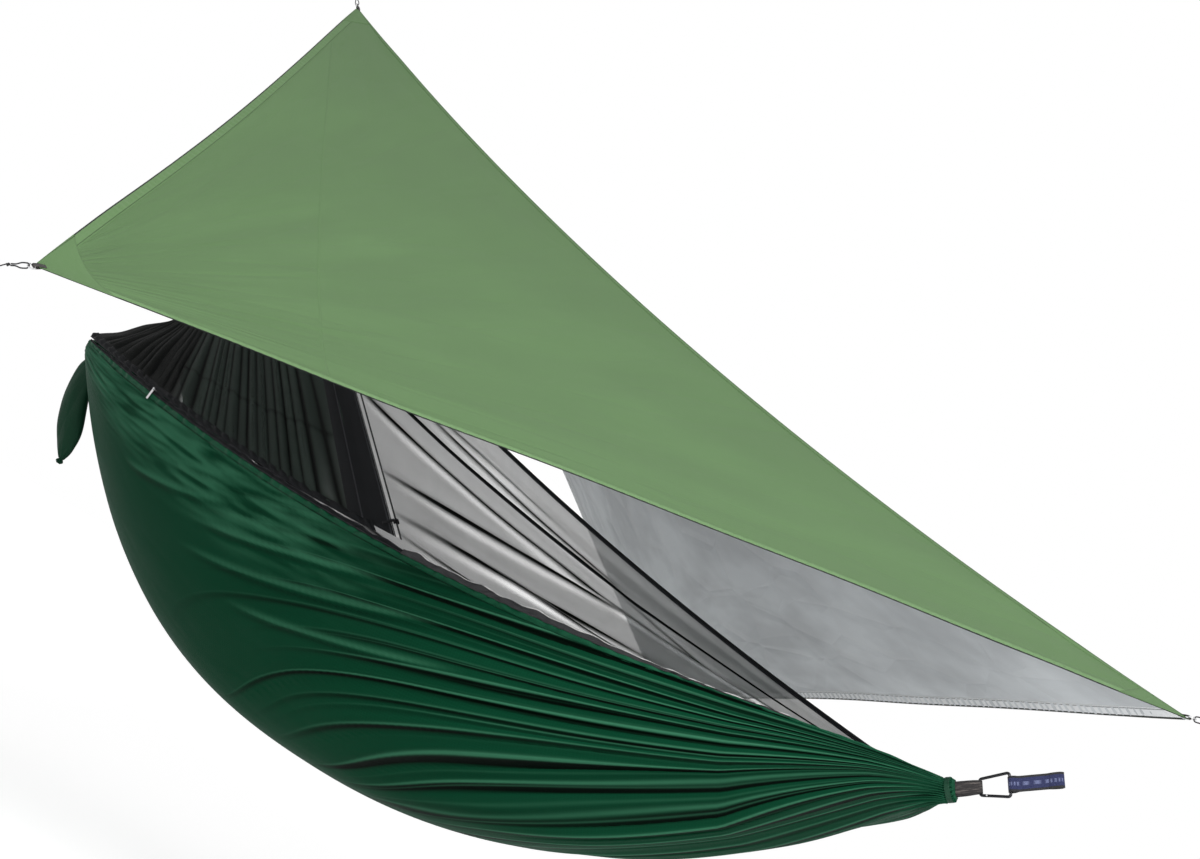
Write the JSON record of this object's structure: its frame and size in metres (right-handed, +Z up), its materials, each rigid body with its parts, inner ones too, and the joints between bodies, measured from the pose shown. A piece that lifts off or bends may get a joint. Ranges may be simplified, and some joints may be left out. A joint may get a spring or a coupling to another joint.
{
  "type": "hammock tent",
  "caption": "Gathered-end hammock with a zipped bug net under a diamond-pitched rain fly, with end carabiners, stuff sack and corner guy rings.",
  "frame": {"origin": "bearing face of the foot strap's outer loop, where the foot end is tied", "axes": "+X from the head end to the foot end, +Y away from the open net door, +Z up"},
  "size_m": [2.891, 2.6892, 1.7382],
  "materials": {
    "black_steel": "black, satin",
    "bright_steel": "satin",
    "dark_webbing": "woven webbing, matt",
    "fly_cloth": "coated ripstop, satin",
    "fly_patch": "coated ripstop, doubled",
    "guy_cord": "braided cord, matt",
    "hammock_cloth": "woven nylon, satin",
    "navy_webbing": "woven webbing, matt",
    "net_mesh": "fine mesh, matt",
    "net_trim": "woven tape, matt",
    "sack_cloth": "woven nylon, satin",
    "zip_tape": "zip tape and teeth, matt"
  },
  "bodies": {
    "fly_and_strap": {"fly_near_panel": "fly_cloth", "fly_far_panel": "fly_cloth", "fly_ridge_tape": "fly_patch", "fly_ridge_loop": "dark_webbing", "lift_hook": "black_steel", "foot_strap": "navy_webbing", "fly_hem_head_near": "fly_cloth", "fly_hem_near_foot": "fly_cloth", "fly_hem_foot_far": "fly_cloth", "fly_hem_far_head": "fly_cloth", "head_corner_patch": "fly_patch", "head_corner_tab": "dark_webbing", "near_corner_patch": "fly_patch", "near_corner_tab": "dark_webbing", "foot_corner_patch": "fly_patch", "foot_corner_tab": "dark_webbing", "far_corner_patch": "fly_patch", "far_corner_tab": "dark_webbing"},
    "hammock": {"hammock_body": "hammock_cloth", "near_rim_hem": "net_trim", "far_rim_hem": "net_trim", "near_zip_tape": "zip_tape", "foot_gather_core": "hammock_cloth", "foot_whipping": "hammock_cloth", "foot_end_loop": "dark_webbing", "head_gather_core": "hammock_cloth", "head_whipping": "hammock_cloth", "head_end_loop": "dark_webbing", "foot_carabiner": "black_steel", "foot_gate_pin": "black_steel", "net_far_panel": "net_mesh", "net_near_panel": "net_mesh", "net_ridge_tape": "net_trim", "door_edge_band": "net_trim", "door_zip_tape": "zip_tape", "net_peak_tab": "dark_webbing", "net_lift_cord": "guy_cord"},
    "foot_gate": {"foot_gate": "black_steel"},
    "head_carabiner": {"head_carabiner": "black_steel", "head_gate_pin": "black_steel"},
    "head_gate": {"head_gate": "black_steel"},
    "stuff_sack": {"stuff_sack": "sack_cloth", "sack_mouth_hem": "sack_cloth", "sack_hang_cord": "dark_webbing"},
    "door_slider": {"door_zip_slider": "bright_steel"},
    "door_pull": {"door_zip_pull": "bright_steel"},
    "rim_slider": {"rim_zip_slider": "bright_steel"},
    "rim_pull": {"rim_zip_pull": "bright_steel"},
    "head_guy": {"head_corner_ring": "bright_steel", "head_guy_loop": "guy_cord", "head_guy_knot": "guy_cord"},
    "near_guy": {"near_corner_ring": "bright_steel", "near_guy_loop": "guy_cord", "near_guy_knot": "guy_cord"},
    "foot_guy": {"foot_corner_ring": "bright_steel", "foot_guy_loop": "guy_cord", "foot_guy_knot": "guy_cord"},
    "far_guy": {"far_corner_ring": "bright_steel", "far_guy_loop": "guy_cord", "far_guy_knot": "guy_cord"}
  },
  "joints": [
    {"name": "hammock_swing", "type": "hinge", "parent": "fly_and_strap", "child": "hammock", "pos_m": [-0.07972, 0, -0.04981], "axis": [0.9998, 0, 0.0206], "range_deg": [-12, 12], "deforming": ["net_lift_cord"]},
    {"name": "foot_gate_hinge", "type": "hinge", "parent": "hammock", "child": "foot_gate", "pos_m": [-0.10658, 0, -0.08557], "axis": [0, -1, 0], "range_deg": [0, 30], "stiffness_Nm_per_rad": 0.02, "springref_deg": -11.46},
    {"name": "head_carabiner_pivot", "type": "hinge", "parent": "hammock", "child": "head_carabiner", "pos_m": [-2.69239, 0, -0.11548], "axis": [0, 1, 0], "range_deg": [-30, 110]},
    {"name": "head_gate_hinge", "type": "hinge", "parent": "head_carabiner", "child": "head_gate", "pos_m": [-2.69239, -0.0161, -0.12725], "axis": [1, 0, 0], "range_deg": [0, 30], "stiffness_Nm_per_rad": 0.02, "springref_deg": -11.46},
    {"name": "sack_swing", "type": "hinge", "parent": "hammock", "child": "stuff_sack", "pos_m": [-2.67114, 0, -0.10979], "axis": [0, 1, 0], "range_deg": [-4, 40]},
    {"name": "door_zip_slide", "type": "slide", "parent": "hammock", "child": "door_slider", "axis": [-0.8272, 0.3021, 0.4738], "range_m": [-0.04, 1]},
    {"name": "door_pull_hinge", "type": "hinge", "parent": "door_slider", "child": "door_pull", "pos_m": [-1.29364, -0.34334, -0.17452], "axis": [-0.8272, 0.3021, 0.4738], "range_deg": [0, 150]},
    {"name": "rim_zip_slide", "type": "slide", "parent": "hammock", "child": "rim_slider", "axis": [0.9754, -0.1853, -0.1196], "range_m": [-0.15, 0.02]},
    {"name": "rim_pull_hinge", "type": "hinge", "parent": "rim_slider", "child": "rim_pull", "pos_m": [-2.11561, -0.31023, -0.16419], "axis": [-0.9754, 0.1853, 0.1196], "range_deg": [0, 150]},
    {"name": "head_guy_swivel", "type": "hinge", "parent": "fly_and_strap", "child": "head_guy", "pos_m": [-2.60698, -0.0001, 1.01432], "axis": [-0.0199, 0.9996, 0.0175], "range_deg": [-30, 30]},
    {"name": "near_guy_swivel", "type": "hinge", "parent": "fly_and_strap", "child": "near_guy", "pos_m": [-1.42299, -1.28737, -0.17831], "axis": [0.9435, -0.0653, -0.3249], "range_deg": [-30, 30]},
    {"name": "foot_guy_swivel", "type": "hinge", "parent": "fly_and_strap", "child": "foot_guy", "pos_m": [0.13887, 0.00006, 0.19147], "axis": [-0.0085, 0.9995, 0.0317], "range_deg": [-30, 30]},
    {"name": "far_guy_swivel", "type": "hinge", "parent": "fly_and_strap", "child": "far_guy", "pos_m": [-1.49994, 1.30434, -0.10739], "axis": [-0.9373, -0.0918, 0.3361], "range_deg": [-30, 30]}
  ]
}
